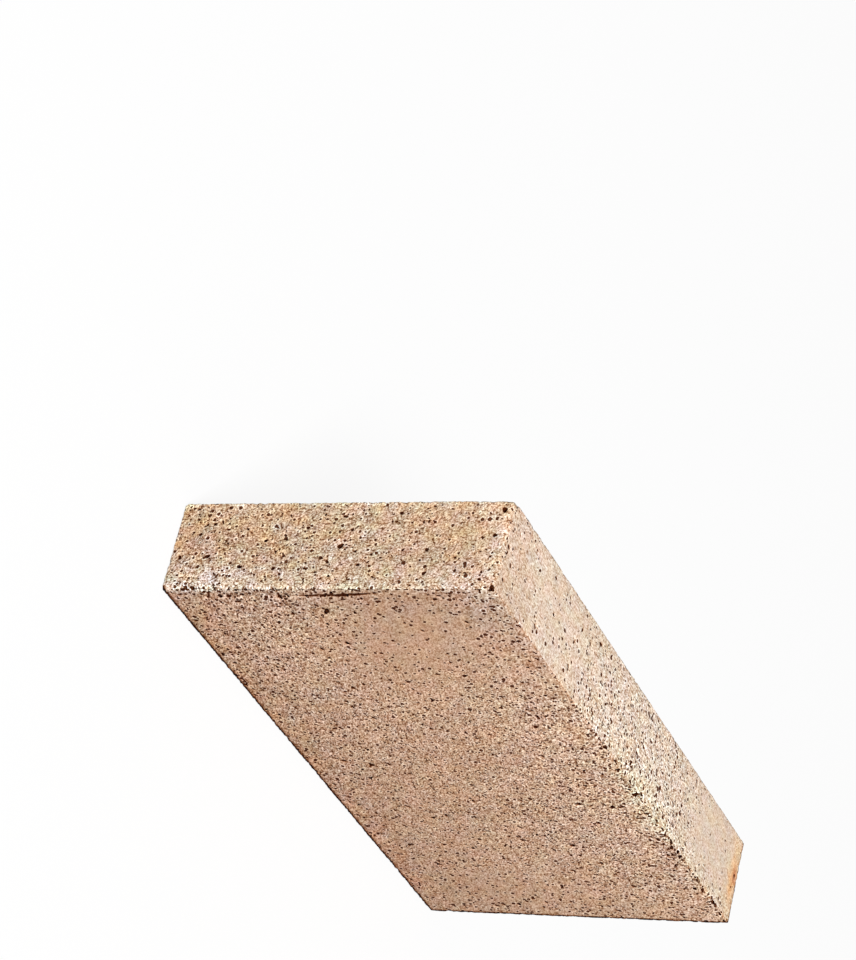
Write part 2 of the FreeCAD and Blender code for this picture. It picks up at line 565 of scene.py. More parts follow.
@dataclass
class Firebrick:
    """The fired split: its box, the fineness of its mesh and the wear on it."""

    low: np.ndarray
    high: np.ndarray
    border_step: float = 0.6
    border_clear: float = 0.62
    field_clear: float = 0.4
    ledge_clear: float = 0.3
    rim_band: float = 2.9
    bald_pit: float = 0.22
    jitter: float = 0.16
    arris_reach: float = 6.0
    same_place: float = 1e-6
    welds_per_mm: float = 1e4
    pit_form: PitForm = PitForm()
    breaks: Breaks = Breaks()
    weather: Weather = Weather()
    facing: Facing = Facing()
    rng: np.random.Generator = field(default_factory=lambda: np.random.default_rng(SEED))

    @property
    def size(self) -> np.ndarray:
        """Length, thickness and width."""
        return self.high - self.low

    def face_size(self, side: Side) -> tuple[float, float]:
        """The two sizes of a face, along its own two axes."""
        first, second = side.plane
        return float(self.size[first]), float(self.size[second])

    def coarse_at(self, side: Side, flat: np.ndarray) -> np.ndarray:
        """How coarse a face is at places in its plane, from 0 to about 1.

        Args:
            side: The face.
            flat: Places in its plane.

        Returns:
            One value for each place.
        """
        skin = SKINS[side]
        value = np.full(len(flat), skin.coarseness)
        for patch in skin.patches:
            gap = np.hypot(flat[:, 0] - patch.first, flat[:, 1] - patch.second)
            value += patch.change * np.exp(-0.5 * (gap / patch.reach) ** 2)
        return value

    def hex_grid(self, side: Side, step: float) -> np.ndarray:
        """Points of a slightly uneven grid of triangles over a whole face.

        Args:
            side: The face.
            step: The grid's step in millimetres.

        Returns:
            Places in the face's plane.
        """
        width, height = self.face_size(side)
        rise = step * math.sqrt(3) / 2
        columns = np.arange(0, width + step, step)
        rows = np.arange(0, height + rise, rise)
        across, up = np.meshgrid(columns, rows)
        across = across + np.where(np.arange(len(rows)) % 2, step / 2, 0.0)[:, None]
        grid = np.stack([across.ravel(), up.ravel()], axis=1)
        return grid + self.rng.uniform(-1, 1, grid.shape) * self.jitter * step

    def rim_gap(self, side: Side, flat: np.ndarray) -> np.ndarray:
        """The distance from places in a face to its nearest border.

        Args:
            side: The face.
            flat: Places in its plane.

        Returns:
            One distance for each place.
        """
        width, height = self.face_size(side)
        gaps = [flat[:, 0], width - flat[:, 0], flat[:, 1], height - flat[:, 1]]
        return np.min(gaps, axis=0)

    def rim_gap_all(self, sharp: np.ndarray) -> np.ndarray:
        """The distance from places on the sharp box to the nearest arris."""
        return np.min([self.arris_gap(arris, sharp) for arris in ARRISES], axis=0)

    def scatter_pits(self, side: Side) -> list[Pit]:
        """The pits of a face: those listed, then seeded ones between them.

        Args:
            side: The face.

        Returns:
            Its pits.
        """
        skin = SKINS[side]
        width, height = self.face_size(side)
        pits = list(skin.pits)
        wanted = int(skin.pits_per_cm2 * width * height / MM_PER_CM**2)
        form = self.pit_form
        clear = form.largest
        while len(pits) < wanted:
            first = self.rng.uniform(clear, width - clear)
            second = self.rng.uniform(clear, height - clear)
            coarse = self.coarse_at(side, np.array([[first, second]]))[0]
            chance = form.plain_chance + coarse / skin.coarseness * form.coarse_chance
            if self.rng.uniform() > chance:
                continue
            spread = self.rng.beta(*form.size_odds)
            size = form.least + spread * (form.largest - form.least)
            crowded = any(
                math.hypot(first - pit.first, second - pit.second)
                < form.apart * (size + pit.width)
                for pit in pits
            )
            if not crowded:
                pits.append(Pit(first, second, size))
        scale = skin.pit_scale
        return [Pit(pit.first, pit.second, pit.width * scale) for pit in pits]

    def pit_rings(self, side: Side, pit: Pit, cloud: Cloud) -> np.ndarray:
        """Adds a pit's rings to a cloud.

        Args:
            side: The face that the pit is in.
            pit: The pit to add.
            cloud: The points of its face.

        Returns:
            The pit's outer ring, which the plain grid keeps out of.
        """
        form = self.pit_form
        radius = pit.width / 2
        count = max(form.least_points, round(2 * math.pi * radius / form.ring_step))
        turn = np.arange(count) / count * 2 * math.pi + self.rng.uniform(0, math.pi)
        lobes = self.rng.uniform(0, 2 * math.pi, 2)
        shape = 1 + form.two_lobes * np.sin(2 * turn + lobes[0])
        shape = shape + form.three_lobes * np.sin(3 * turn + lobes[1])
        first, second = side.plane
        drawn_out = LIE[first] != 0
        stretch = self.rng.uniform(*(form.long if drawn_out else form.round))
        tilt = math.atan2(LIE[second], LIE[first]) + self.rng.normal(0, form.tilt_spread)
        ring = np.stack([np.cos(turn) * stretch, np.sin(turn) / stretch], axis=1)
        ring = ring * shape[:, None] * radius
        spin = np.array([[math.cos(tilt), -math.sin(tilt)], [math.sin(tilt), math.cos(tilt)]])
        ring = ring @ spin.T
        centre = np.array([pit.first, pit.second])
        depth = pit.width * form.depth_share * self.rng.uniform(*form.depth_spread)
        outer = centre + ring * (1 + form.margin / radius)
        cloud.add(outer)
        cloud.add(centre + ring, form.lip_sink * depth, form.lip_hollow)
        cloud.add(centre + ring[::2] * form.floor_ring, form.floor_sink * depth, 1.0)
        cloud.add(centre[None, :], depth, 1.0)
        return outer

    def face_cloud(self, side: Side) -> Cloud:
        """All the points of a face: its border, its grid and its pits.

        Args:
            side: The face.

        Returns:
            Its points with how deep each one sinks.
        """
        width, height = self.face_size(side)
        cloud = Cloud()
        columns = np.linspace(0, width, round(width / self.border_step) + 1)
        rows = np.linspace(0, height, round(height / self.border_step) + 1)
        for edge in (0.0, height):
            cloud.add(np.stack([columns, np.full(len(columns), edge)], axis=1))
        for edge in (0.0, width):
            inner = rows[1:-1]
            cloud.add(np.stack([np.full(len(inner), edge), inner], axis=1))
        skin = SKINS[side]
        band = self.hex_grid(side, skin.rim_step)
        gap = self.rim_gap(side, band)
        band = band[(gap > self.border_clear * self.border_step) & (gap < self.rim_band)]
        inside = self.hex_grid(side, skin.field_step)
        gap = self.rim_gap(side, inside)
        inside = inside[gap > self.rim_band + self.field_clear * skin.field_step]
        grid = np.concatenate([band, inside])
        pits = self.scatter_pits(side)
        if side is LEDGE.side:
            rows = self.ledge_rows(pits)
            away = self.ledge_offset(grid)[0]
            grid = grid[np.abs(away) > LEDGE.half_width + self.ledge_clear * skin.rim_step]
            cloud.add(rows)
        for pit in pits:
            outer = self.pit_rings(side, pit, cloud)
            centre = np.array([pit.first, pit.second])
            reach = np.hypot(*(outer - centre).T).max()
            away = np.hypot(*(grid - centre).T)
            grid = grid[away > reach + self.bald_pit]
        cloud.add(grid)
        return cloud

    def ledge_offset(self, flat: np.ndarray) -> tuple[np.ndarray, np.ndarray]:
        """How far places in the face are across the ledge's line, and how strong it is there.

        Args:
            flat: Places in the plane of the ledge's face.

        Returns:
            The distances across the line, and strengths from 0 to 1.
        """
        across, along = np.array(LEDGE.line).T
        offset = flat[:, 0] - np.interp(flat[:, 1], along, across)
        start = soft_step((flat[:, 1] - along[0] + LEDGE.lead_in) / LEDGE.lead_in_fade)
        end = soft_step((along[-1] - flat[:, 1]) / LEDGE.end_fade)
        return offset, start * end

    def ledge_rows(self, pits: list[Pit]) -> np.ndarray:
        """Three rows of points along the ledge, left out where a pit is.

        Args:
            pits: The pits of its face.

        Returns:
            Places in the face's plane.
        """
        across, along = np.array(LEDGE.line).T
        steps = np.arange(along[0] - LEDGE.row_lead, along[-1], LEDGE.row_step)
        middle = np.stack([np.interp(steps, along, across), steps], axis=1)
        rows = [middle + (shift, 0.0) for shift in (-LEDGE.half_width, 0.0, LEDGE.half_width)]
        points = np.concatenate(rows)
        for pit in pits:
            away = np.hypot(points[:, 0] - pit.first, points[:, 1] - pit.second)
            points = points[away > LEDGE.pit_share * pit.width + LEDGE.pit_clear]
        return points

    def ledge_sink(self, sharp: np.ndarray) -> tuple[np.ndarray, np.ndarray]:
        """How deep the ledge lies at each place, and how much painted shade its groove gets.

        Args:
            sharp: Places on the sharp box.

        Returns:
            Depths in millimetres, and painted shade from 0 to 1.
        """
        first, second = LEDGE.side.plane
        flat = sharp[:, (first, second)] - self.low[[first, second]]
        offset, strength = self.ledge_offset(flat)
        level = (self.low, self.high)[LEDGE.side.end][LEDGE.side.axis]
        strength = strength * (np.abs(sharp[:, LEDGE.side.axis] - level) < self.same_place)
        patchy = soft_step(LEDGE.patches.at(sharp))
        step = soft_step(0.5 - offset / (2 * LEDGE.half_width))
        groove = np.exp(-((offset / (LEDGE.groove_share * LEDGE.half_width)) ** 2)) * patchy
        fade_in = np.clip(flat[:, 0] / LEDGE.rim_fade, 0, 1)
        sink = strength * (LEDGE.drop * step * fade_in + LEDGE.groove * groove)
        deepest = np.exp(-(((flat[:, 1] - LEDGE.dark_middle) / LEDGE.dark_reach) ** 2))
        line = np.exp(-((offset / (LEDGE.dark_share * LEDGE.half_width)) ** 2))
        dark = strength * line * np.maximum(patchy * LEDGE.dark_rest, deepest)
        return sink, dark

    def lift(self, side: Side, flat: np.ndarray) -> np.ndarray:
        """Places in a face's plane as places on the sharp box.

        Args:
            side: The face.
            flat: Places in its plane.

        Returns:
            The same places in the brick's frame.
        """
        first, second = side.plane
        lifted = np.empty((len(flat), 3))
        lifted[:, first] = self.low[first] + flat[:, 0]
        lifted[:, second] = self.low[second] + flat[:, 1]
        lifted[:, side.axis] = (self.low, self.high)[side.end][side.axis]
        return lifted

    def tile(self, side: Side) -> tuple[np.ndarray, np.ndarray, np.ndarray, np.ndarray]:
        """One face as triangles.

        Args:
            side: The face to make.

        Returns:
            Places on the sharp box, sinks, hollows and triangles facing outwards.
        """
        cloud = self.face_cloud(side)
        flat = np.concatenate(cloud.places)
        sinks = np.concatenate(cloud.sinks)
        hollows = np.concatenate(cloud.hollows)
        cut = geometry.delaunay_2d_cdt([Vector(p) for p in flat], [], [], 0, self.same_place)
        verts, triangles, origins = cut[0], np.array(cut[2]), cut[3]
        source = np.array([origin[0] for origin in origins])
        flat = np.array([tuple(v) for v in verts])
        lifted = self.lift(side, flat)
        a, b, c = (lifted[triangles[:, k]] for k in range(3))
        out = np.cross(b - a, c - a)[:, side.axis] * (1 if side.end else -1)
        triangles[out < 0] = triangles[out < 0][:, ::-1]
        return lifted, sinks[source], hollows[source], triangles

    def side_gap(self, side: Side, points: np.ndarray) -> np.ndarray:
        """The distance of points from the plane of a face."""
        level = (self.low, self.high)[side.end][side.axis]
        return np.abs(points[:, side.axis] - level)

    def arris_gap(self, arris: Arris, points: np.ndarray) -> np.ndarray:
        """The distance of points from the sharp line of an arris."""
        return np.hypot(self.side_gap(arris.first, points), self.side_gap(arris.second, points))

    def round_arrises(self, points: np.ndarray) -> tuple[np.ndarray, np.ndarray]:
        """Rolls the box's sharp edges over.

        Args:
            points: Places on the sharp box.

        Returns:
            Places on the rounded box, and the outward way at each.
        """
        least = min(arris.radius for arris in ARRISES)
        radius = np.full(len(points), least)
        for arris in ARRISES:
            near = 1 - soft_step(self.arris_gap(arris, points) / self.arris_reach)
            radius = np.maximum(radius, least + (arris.radius - least) * near)
        radius *= self.weather.arris_radius.at(points)
        low = self.low + radius[:, None]
        high = self.high - radius[:, None]
        core = np.clip(points, low, high)
        way = points - core
        way /= np.linalg.norm(way, axis=1)[:, None]
        return core + way * radius[:, None], way

    def knock(self, knock: Knock, points: np.ndarray, way: np.ndarray) -> np.ndarray:
        """Presses the points outside a knocked corner's plane back and turns their way out.

        Args:
            knock: The knocked corner.
            points: The places to press.
            way: The outward way at each place, which is turned here.

        Returns:
            The places after the knock.
        """
        corner = np.zeros(3)
        inward = np.zeros(3)
        for side in knock.corner:
            corner[side.axis] = (self.low, self.high)[side.end][side.axis]
            inward[side.axis] = -1.0 if side.end else 1.0
        slope = inward / np.array(knock.legs)
        inside = (points - corner) @ slope - 1.0
        shift = np.where(inside < 0, -inside, 0.0) / (slope @ slope)
        way[inside < -self.breaks.knock_margin] = -slope / np.linalg.norm(slope)
        return points + shift[:, None] * slope

    def scoop(self, place: np.ndarray, outward: np.ndarray, length: float, bite: float,
              points: np.ndarray) -> np.ndarray:
        """Presses the points inside a ball out to its surface.

        Args:
            place: Where on the sharp arris the chip sits.
            outward: The unit way out of the brick there.
            length: The chip's length along the arris.
            bite: Its depth below the sharp arris.
            points: The places to press.

        Returns:
            The places after the chip.
        """
        radius = (length**2 / 4 + bite**2) / (2 * bite)
        centre = place + outward * (radius - bite)
        away = points - centre
        gap = np.linalg.norm(away, axis=1)
        hit = gap < radius
        points = points.copy()
        points[hit] = centre + away[hit] / gap[hit, None] * radius
        return points

    def nearness(self, arris: Arris, points: np.ndarray, reach: float) -> np.ndarray:
        """1 on the sharp line of an arris, falling smoothly to 0 past its reach."""
        return np.exp(-((self.arris_gap(arris, points) / reach) ** 2))

    def outward_of(self, arris: Arris) -> np.ndarray:
        """The unit way out of the brick, midway between the two faces of an arris.

        Args:
            arris: The arris.

        Returns:
            The way as a unit vector.
        """
        outward = np.zeros(3)
        for side in (arris.first, arris.second):
            outward[side.axis] = 1.0 if side.end else -1.0
        return outward / math.sqrt(2)

    def crumble(self, arris: Arris, points: np.ndarray) -> np.ndarray:
        """Breaks seeded small chips out of one arris.

        Args:
            arris: The arris.
            points: The places of the whole brick.

        Returns:
            The places after the chips.
        """
        breaks = self.breaks
        length = self.size[arris.axis]
        far = arris.crumbs_per_cm if arris.far_crumbs_per_cm < 0 else arris.far_crumbs_per_cm
        outward = self.outward_of(arris)
        near_line = self.arris_gap(arris, points) < self.arris_reach
        part = points[near_line]
        least, span = breaks.chip_size
        for _ in range(int(max(arris.crumbs_per_cm, far) * length / MM_PER_CM)):
            along = self.rng.uniform(0, length)
            past = (along / length - breaks.far_start) * breaks.far_slope
            share = float(soft_step(np.array([past]))[0])
            wanted = arris.crumbs_per_cm + (far - arris.crumbs_per_cm) * share
            size = least + span * self.rng.beta(*breaks.chip_odds)
            bite = size * self.rng.uniform(*breaks.chip_bite)
            bite += breaks.chip_radius_share * arris.radius
            lean = self.rng.normal(0, breaks.chip_lean, 3)
            if self.rng.uniform() * max(arris.crumbs_per_cm, far) > wanted:
                continue
            place = np.where(outward > 0, self.high, self.low)
            place[arris.axis] = self.low[arris.axis] + along
            way = outward + lean
            way[arris.axis] *= breaks.chip_squeeze
            part = self.scoop(place, way / np.linalg.norm(way), size, bite, part)
        points = points.copy()
        points[near_line] = part
        return points

    def tear(self, sides: tuple[Side, Side], crumb: Crumb, sharp: np.ndarray,
             points: np.ndarray, way: np.ndarray, torn_shade: np.ndarray) -> None:
        """Tears one grain out of an arris and marks the hollow that it leaves for painted shade.

        Args:
            sides: The two faces of the arris.
            crumb: The grain to tear out.
            sharp: The places on the sharp box.
            points: The places on the worn brick, which are pressed here.
            way: The outward way at each place.
            torn_shade: How much painted shade each place gets, which is raised here.
        """
        breaks = self.breaks
        axis = 3 - sides[0].axis - sides[1].axis
        off = sides[1] if crumb.drop >= 0 else sides[0]
        place = np.zeros(3)
        for side in sides:
            place[side.axis] = (self.low, self.high)[side.end][side.axis]
        place[axis] = self.low[axis] + crumb.along
        place[off.axis] += abs(crumb.drop) * (-1 if off.end else 1)
        nearest = np.argmin(np.linalg.norm(sharp - place, axis=1))
        radius = 0.5 * crumb.size * breaks.grain_growth
        centre = points[nearest] + way[nearest] * breaks.grain_rise * crumb.size
        stretch = self.rng.uniform(*breaks.grain_stretch)
        shape = np.full(3, math.sqrt(stretch))
        shape[axis] = 1 / math.sqrt(stretch)
        away = points - centre
        gap = np.linalg.norm(away * shape, axis=1)
        hit = gap < radius
        depth = np.clip((radius - gap[hit]) / (breaks.grain_wall * radius), 0, 1)
        torn_shade[hit] = np.maximum(torn_shade[hit], depth)
        points[hit] = centre + away[hit] / np.maximum(gap[hit, None], self.same_place) * radius

    def chip(self, sharp: np.ndarray, points: np.ndarray, way: np.ndarray,
             torn_shade: np.ndarray) -> np.ndarray:
        """All that is broken off the arrises and corners.

        Args:
            sharp: Places on the sharp box.
            points: The same places on the rounded brick.
            way: The outward way at each place, which knocks turn.
            torn_shade: How much painted shade each place gets, which torn grains raise.

        Returns:
            The places after all the wear.
        """
        for knock in KNOCKS:
            points = self.knock(knock, points, way)
        top_arris = next(a for a in ARRISES if {a.first, a.second} == {Side.NEAR_BED, Side.TOP})
        outward = self.outward_of(top_arris)
        for spall in SPALLS:
            place = np.array([self.high[0] - spall.from_far_end, self.low[1], self.high[2]])
            points = self.scoop(place, outward, spall.length, spall.bite, points)
        for arris in ARRISES:
            points = self.crumble(arris, points)
        for sides, crumbs in CRUMBS.items():
            for crumb in crumbs:
                self.tear(sides, crumb, sharp, points, way, torn_shade)
        for arris in ARRISES:
            for stroke in self.strokes(arris):
                self.tear((arris.first, arris.second), stroke, sharp, points, way, torn_shade)
        return points

    def coarse_field(self, points: np.ndarray, way: np.ndarray) -> np.ndarray:
        """The coarseness at places all over the brick, blended round its arrises.

        Args:
            points: Places on the sharp box.
            way: The outward way at each place.

        Returns:
            One value for each place.
        """
        value = np.zeros(len(points))
        total = np.zeros(len(points))
        for side in Side:
            facing = way[:, side.axis] * (1 if side.end else -1)
            share = np.clip(facing, 0, 1) ** 2
            first, second = side.plane
            flat = points[:, (first, second)] - self.low[[first, second]]
            value += share * self.coarse_at(side, flat)
            total += share
        return value / total

    def painted_edge_shade_field(self, sharp: np.ndarray) -> np.ndarray:
        """How dark the painted shade lies along the arrises that carry it, patchy along them.

        Args:
            sharp: Places on the sharp box.

        Returns:
            One value from 0 to 1 for each place.
        """
        painted_edge_shade = np.zeros(len(sharp))
        for arris in ARRISES:
            near = self.nearness(arris, sharp, self.weather.painted_edge_shade_reach)
            painted_edge_shade = np.maximum(painted_edge_shade, np.minimum(near * arris.painted_edge_shade, 1.0))
        return painted_edge_shade * soft_step(self.weather.painted_edge_shade.at(sharp))

    def strokes(self, arris: Arris) -> list[Crumb]:
        """Seeded narrow tears beside a crumbling arris, on the first of its two faces.

        Args:
            arris: The arris.

        Returns:
            The tears as crumbs.
        """
        breaks = self.breaks
        length = self.size[arris.axis]
        count = int(arris.strokes_per_cm * length * (1 - breaks.far_start) / MM_PER_CM)
        starts = self.rng.uniform(breaks.far_start * length, length - breaks.stroke_end, count)
        least, span = breaks.stroke_drop
        drops = least + span * self.rng.beta(*breaks.stroke_odds, count)
        sizes = self.rng.uniform(*breaks.stroke_size, count)
        return [Crumb(*stroke) for stroke in zip(starts, drops, sizes)]

    def crumbly(self, sharp: np.ndarray) -> np.ndarray:
        """How much coarser the clay is beside arrises that crumble, patchy along them.

        Args:
            sharp: Places on the sharp box.

        Returns:
            One value for each place.
        """
        weather = self.weather
        more = np.zeros(len(sharp))
        for arris in ARRISES:
            if arris.far_crumbs_per_cm < 0:
                continue
            along = (sharp[:, arris.axis] - self.low[arris.axis]) / self.size[arris.axis]
            share = soft_step((along - weather.crumbly_start) * weather.crumbly_slope)
            near = self.nearness(arris, sharp, weather.crumbly_reach)
            patchy = soft_step(weather.crumbly.at(sharp))
            more = np.maximum(more, share * near * patchy * weather.crumbly_rise)
        return more

    def crown_field(self, points: np.ndarray, way: np.ndarray) -> np.ndarray:
        """How far the faces fall away from their middles towards their rims.

        Args:
            points: Places on the sharp box.
            way: The outward way at each place.

        Returns:
            One depth in millimetres for each place.
        """
        middle = (self.low + self.high) / 2
        out = np.abs(points - middle) / (self.size / 2)
        value = np.zeros(len(points))
        for side in Side:
            facing = way[:, side.axis] * (1 if side.end else -1)
            share = np.clip(facing, 0, 1) ** 2
            first, second = side.plane
            value += share * SKINS[side].crown * np.maximum(out[:, first], out[:, second]) ** 2
        return value

    def skin_depth(self, sharp: np.ndarray, coarse: np.ndarray) -> np.ndarray:
        """How far the skin lies inside the solid: its swells, its ripples and its grit.

        Args:
            sharp: Places on the sharp box.
            coarse: How coarse the clay is at each.

        Returns:
            One depth in millimetres for each place.
        """
        weather = self.weather
        swell = weather.swell.at(sharp) + weather.ripple.at(sharp)
        rim = np.exp(-((self.rim_gap_all(sharp) / self.rim_band) ** 2))
        strength = weather.grit_least + weather.grit_where_coarse * coarse + weather.grit_at_rim * rim
        return np.clip(weather.skin_inset + swell + strength * weather.grit.at(sharp), 0.0, None)

    def rag(self, sharp: np.ndarray) -> np.ndarray:
        """How much single grains are missing along the arrises.

        Args:
            sharp: Places on the sharp box.

        Returns:
            One depth in millimetres for each place.
        """
        loss = np.zeros(len(sharp))
        grain = np.clip(self.weather.rag.at(sharp), 0, 1)
        for arris in ARRISES:
            near = self.nearness(arris, sharp, self.weather.rag_reach)
            loss = np.maximum(loss, arris.ragged * near * grain * self.weather.rag_gain)
        return loss

    def edge_wear(self, sharp: np.ndarray) -> np.ndarray:
        """How much of the skin is rubbed off along the arrises, patchy from place to place.

        Args:
            sharp: Places on the sharp box.

        Returns:
            One value from 0 to 1 for each place.
        """
        wear = np.zeros(len(sharp))
        for arris in ARRISES:
            near = self.nearness(arris, sharp, arris.pale_reach)
            wear = np.maximum(wear, near * arris.pale)
        return wear * soft_step(self.weather.rubbed.at(sharp))

    def turned_out(self, places: np.ndarray, faces: np.ndarray) -> np.ndarray:
        """How far the worn surface turns out between the top and the two near faces, as a mask for
        painted shade.

        Args:
            places: The places of the worn brick.
            faces: Its triangles.

        Returns:
            One value for each place, 0 on every flat face.
        """
        first, second, third = (places[faces[:, corner]] for corner in range(3))
        out = np.cross(second - first, third - first)
        way = np.zeros_like(places)
        for corner in range(3):
            np.add.at(way, faces[:, corner], out)
        way /= np.linalg.norm(way, axis=1)[:, None]
        facing = self.facing
        sideways = -way[:, 1] - facing.turn_lean * way[:, 0] - facing.turn_start
        sideways = np.clip(sideways, 0, facing.turn_most)
        return facing.turn_gain * sideways * np.clip(way[:, 2] - facing.turn_start, 0, 1)

    def mesh_data(self) -> tuple[np.ndarray, np.ndarray, dict[str, np.ndarray]]:
        """The whole brick.

        Returns:
            Places, triangles and the named values of each place.
        """
        places, sinks, hollows, triangles = [], [], [], []
        count = 0
        for side in Side:
            lifted, sink, hollow, faces = self.tile(side)
            places.append(lifted)
            sinks.append(sink)
            hollows.append(hollow)
            triangles.append(faces + count)
            count += len(lifted)
        sharp = np.concatenate(places)
        keys = np.round(sharp * self.welds_per_mm).astype(np.int64)
        _, kept, merged = np.unique(keys, axis=0, return_index=True, return_inverse=True)
        merged = merged.reshape(-1)
        faces = merged[np.concatenate(triangles)]
        sharp = sharp[kept]
        sink = np.concatenate(sinks)[kept]
        hollow = np.concatenate(hollows)[kept]
        rounded, way = self.round_arrises(sharp)
        torn_shade = np.zeros(len(sharp))
        chipped = self.chip(sharp, rounded, way, torn_shade)
        weather = self.weather
        torn = self.crumbly(sharp)
        coarse = self.coarse_field(sharp, way) + weather.coarse.at(sharp) + torn
        coarse = np.clip(coarse, 0.0, weather.coarsest)
        ledge, groove = self.ledge_sink(sharp)
        inset = self.skin_depth(sharp, coarse)
        inset += self.crown_field(sharp, way) + self.rag(sharp) + sink + ledge
        groove = np.minimum(weather.groove_share * groove, weather.groove_most)
        # Painted shade: pits, torn hollows and the ledge's groove are marked here to be darkened.
        hollow = np.maximum(hollow, np.maximum(torn_shade, groove))
        lost = np.linalg.norm(chipped - rounded, axis=1)
        facing = self.facing
        final = chipped - way * inset[:, None]
        values = {
            "coarse": coarse,
            "hollow": hollow,
            "broken": np.clip(lost / self.breaks.full_depth, 0, 1),
            "edge": self.edge_wear(sharp),
            "torn": torn,
            # Painted shade: marks where the arris turns towards the lamp, to be darkened.
            "turned": self.turned_out(final, faces),
            # Painted shade along the outline arrises.
            "painted_edge_shade": self.painted_edge_shade_field(sharp),
            "along": soft_step((np.abs(way[:, 0]) - facing.header_start) / facing.band),
            "through": soft_step((np.abs(way[:, 1]) - facing.bed_start) / facing.band),
        }
        return final, faces, values

    def build(self) -> bpy.types.Object:
        """Makes the brick's mesh and puts it on its body in place of the solid.

        Returns:
            The brick.
        """
        places, faces, values = self.mesh_data()
        mesh = bpy.data.meshes.new("fired_split")
        mesh.from_pydata((places * MM).tolist(), [], faces.tolist())
        mesh.validate()
        mesh.shade_smooth()
        for name, value in values.items():
            layer = mesh.attributes.new(name, "FLOAT", "POINT")
            layer.data.foreach_set("value", value.astype(np.float32))
        brick = bpy.data.objects.new("fired_split", mesh)
        bpy.context.scene.collection.objects.link(brick)
        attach(brick, BODY)
        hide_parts(NODE)
        log.info("fired_split: %d triangles", len(faces))
        return brick

    def dress(self, brick: bpy.types.Object, finish: "FiredClay") -> None:
        """Gives the brick its finish."""
        brick.data.materials.append(finish.material())
        log.info("fired_split wears %s", finish.name)


class Signal:
    """One shader value that turns arithmetic into Math nodes."""

    def __init__(self, tree: "Tree", socket: bpy.types.NodeSocket) -> None:
        """Keeps the tree that the value belongs to and its socket."""
        self.tree = tree
        self.socket = socket

    def _with(self, operation: str, first: object, second: object) -> "Signal":
        """A Math node on two values."""
        settings = {"operation": operation}
        return self.tree.node("ShaderNodeMath", settings, {0: first, 1: second})

    def __add__(self, other: object) -> "Signal":
        """The sum of this value and another."""
        return self._with("ADD", self, other)

    def __radd__(self, other: object) -> "Signal":
        """The sum of another value and this."""
        return self._with("ADD", other, self)

    def __sub__(self, other: object) -> "Signal":
        """This value less another."""
        return self._with("SUBTRACT", self, other)

    def __rsub__(self, other: object) -> "Signal":
        """Another value less this."""
        return self._with("SUBTRACT", other, self)

    def __mul__(self, other: object) -> "Signal":
        """This value times another."""
        return self._with("MULTIPLY", self, other)

    def __rmul__(self, other: object) -> "Signal":
        """Another value times this."""
        return self._with("MULTIPLY", other, self)

    def __truediv__(self, other: object) -> "Signal":
        """This value divided by another."""
        return self._with("DIVIDE", self, other)

    def __pow__(self, other: object) -> "Signal":
        """This value raised to another."""
        return self._with("POWER", self, other)

    def most(self, other: object) -> "Signal":
        """The larger of this value and another."""
        return self._with("MAXIMUM", self, other)

    def least(self, other: object) -> "Signal":
        """The smaller of this value and another."""
        return self._with("MINIMUM", self, other)

    def fade(self, start: float, end: float) -> "Signal":
        """0 up to start, 1 from end on and smooth between, or falling if end is lower.

        Args:
            start: Where the fade starts.
            end: Where it ends.

        Returns:
            The faded value.
        """
        settings = {"interpolation_type": "SMOOTHSTEP", "clamp": True}
        links = {"Value": self, "From Min": start, "From Max": end}
        if end < start:
            links = {"Value": self, "From Min": end, "From Max": start, "To Min": 1.0, "To Max": 0.0}
        return self.tree.node("ShaderNodeMapRange", settings, links)


